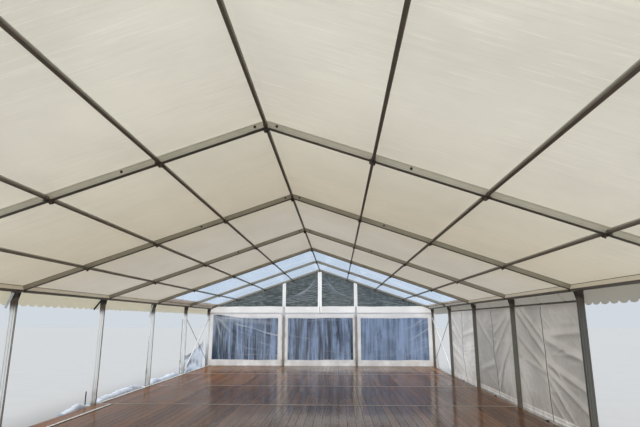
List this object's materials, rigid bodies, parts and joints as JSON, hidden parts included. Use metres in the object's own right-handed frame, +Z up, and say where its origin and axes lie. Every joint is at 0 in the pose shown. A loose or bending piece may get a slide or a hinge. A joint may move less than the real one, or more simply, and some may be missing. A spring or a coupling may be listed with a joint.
{
  "type": "marquee tent",
  "caption": "Clear-span frame marquee with cream roof covers, clear end bays and gable, curtain walls on one side and a wet board deck, open at the near end",
  "frame": {"origin": "on the ground, under the middle of the tent's outline", "axes": "+Z is up. +Y runs along the ridge from the open near end to the closed far gable. +X is the walled side, on the right when looking in at the open end."},
  "size_m": [9.4, 18.2, 3.9124],
  "materials": {
    "frame_aluminium": "dulled aluminium rafters and purlins with dark brackets and bolts",
    "leg_aluminium": "lighter satin aluminium profile with grooves",
    "cream_pvc": "cream PVC-coated sheet, lit through from above, with faint creases",
    "clear_pvc": "clear flexible PVC with white borders and soft glints",
    "white_pvc": "grey-white PVC curtain with folds",
    "galvanised_steel": "dull zinc-coated steel",
    "wet_boards": "dark brown boards, wet and glossy"
  },
  "bodies": {
    "root": {"brace_bar_left": "galvanised_steel", "brace_bar_right": "galvanised_steel", "brace_tube_left": "galvanised_steel", "brace_tube_right": "galvanised_steel", "deck": "wet_boards", "gable_king_post": "leg_aluminium", "gable_panel_left": "clear_pvc", "gable_panel_middle": "clear_pvc", "gable_panel_right": "clear_pvc", "gable_post_left": "leg_aluminium", "gable_post_right": "leg_aluminium", "gable_rail": "frame_aluminium", "gable_triangle": "clear_pvc", "heaped_wall": "white_pvc", "leg_left_1": "leg_aluminium", "leg_left_2": "leg_aluminium", "leg_left_3": "leg_aluminium", "leg_left_4": "leg_aluminium", "leg_left_5": "leg_aluminium", "leg_left_6": "leg_aluminium", "leg_left_7": "leg_aluminium", "leg_right_1": "leg_aluminium", "leg_right_2": "leg_aluminium", "leg_right_3": "leg_aluminium", "leg_right_4": "leg_aluminium", "leg_right_5": "leg_aluminium", "leg_right_6": "leg_aluminium", "leg_right_7": "leg_aluminium", "rolled_wall_3": "white_pvc", "rolled_wall_4": "white_pvc", "rolled_wall_5": "white_pvc", "roof_cover_1": "cream_pvc", "roof_cover_2": "cream_pvc", "roof_cover_3": "cream_pvc", "roof_cover_4": "cream_pvc", "roof_cover_clear_5": "clear_pvc", "roof_cover_clear_6": "clear_pvc", "roof_frame_1": "frame_aluminium", "roof_frame_2": "frame_aluminium", "roof_frame_3": "frame_aluminium", "roof_frame_4": "frame_aluminium", "roof_frame_5": "frame_aluminium", "roof_frame_6": "frame_aluminium", "roof_frame_7": "frame_aluminium", "side_wall_3_far": "white_pvc", "side_wall_3_near": "white_pvc", "side_wall_4_far": "white_pvc", "side_wall_4_near": "white_pvc", "side_wall_5_far": "white_pvc", "side_wall_5_near": "white_pvc", "tied_wall": "white_pvc"}
  },
  "joints": []
}
